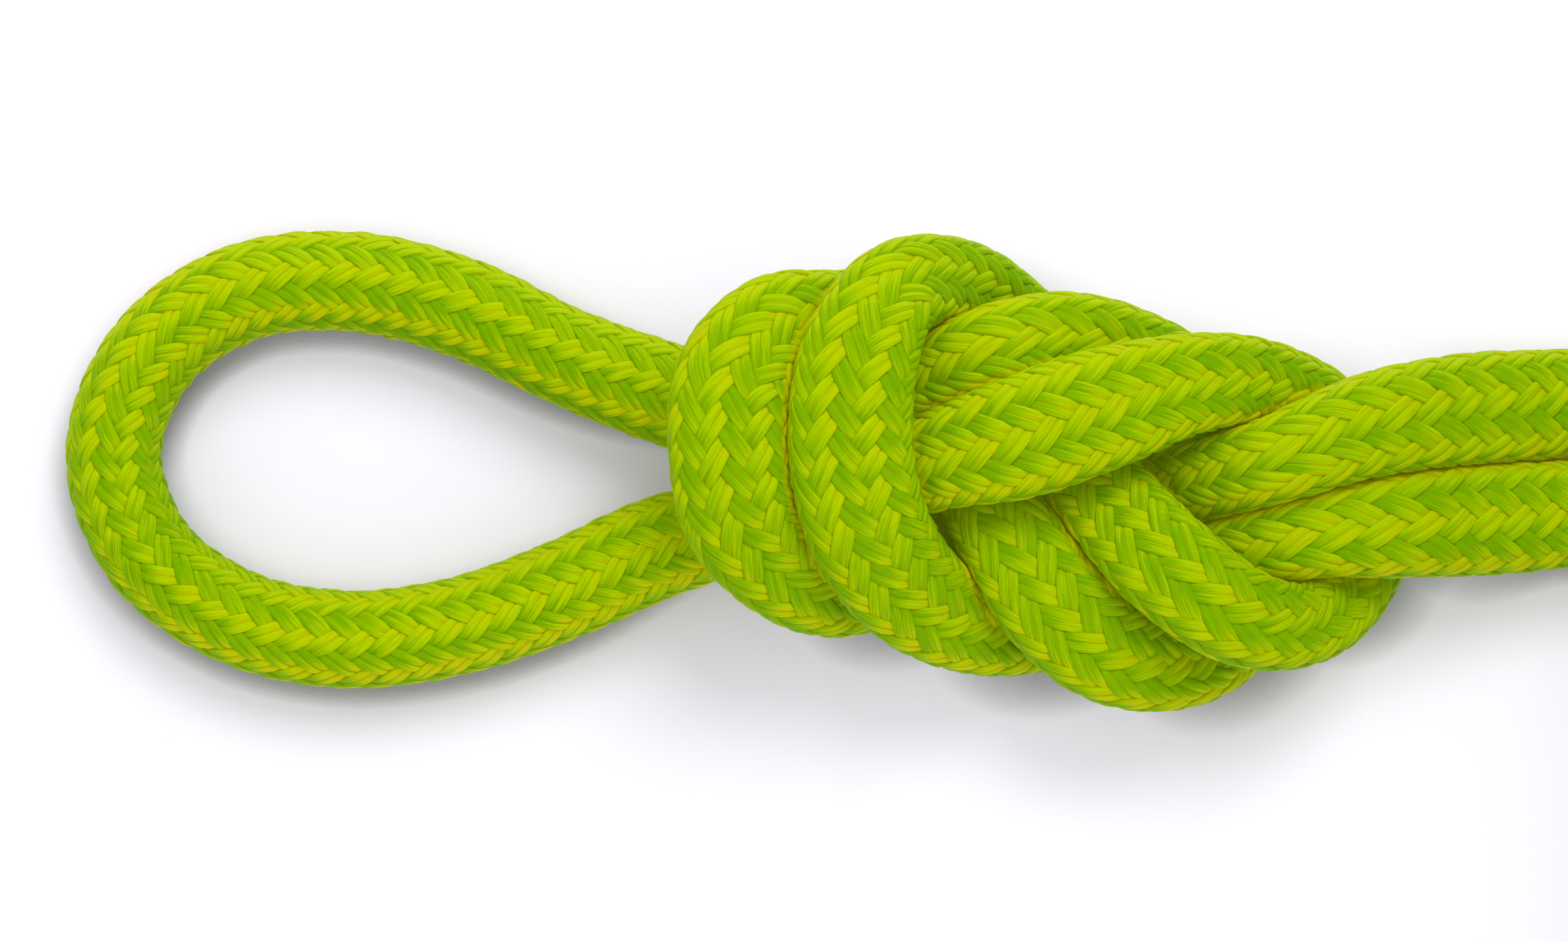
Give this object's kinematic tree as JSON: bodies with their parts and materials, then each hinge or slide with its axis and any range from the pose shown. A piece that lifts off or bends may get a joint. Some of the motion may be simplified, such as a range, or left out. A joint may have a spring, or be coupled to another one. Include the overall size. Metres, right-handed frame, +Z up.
{
  "type": "dynamic climbing rope",
  "caption": "Green braided climbing rope tied in a figure-eight loop, with its stored length folded behind the knot as a wrapped hank.",
  "frame": {"origin": "centre of the loop's eye, on the plane that the rope lies on", "axes": "+X from the loop through the knot to the hank, +Y across the rope, +Z up"},
  "size_m": [0.4422, 0.12, 0.1257],
  "materials": {
    "sheath": "braided polyamide, soft sheen",
    "core": "plied polyamide yarn, matte",
    "id_thread": "matte",
    "end_sleeve": "shrunk tube, satin",
    "end_seal": "melted, uneven"
  },
  "bodies": {
    "root": {"sheath": "sheath", "core_strand_1": "core", "core_strand_2": "core", "core_strand_3": "core", "core_strand_4": "core", "core_strand_5": "core", "core_strand_6": "core", "core_strand_7": "core", "id_thread": "id_thread", "tail_end_sleeve": "end_sleeve", "tail_end_seal": "end_seal", "hank": "sheath", "hank_wrap": "sheath", "free_end": "sheath", "free_end_sleeve": "end_sleeve", "free_end_seal": "end_seal"}
  },
  "joints": []
}
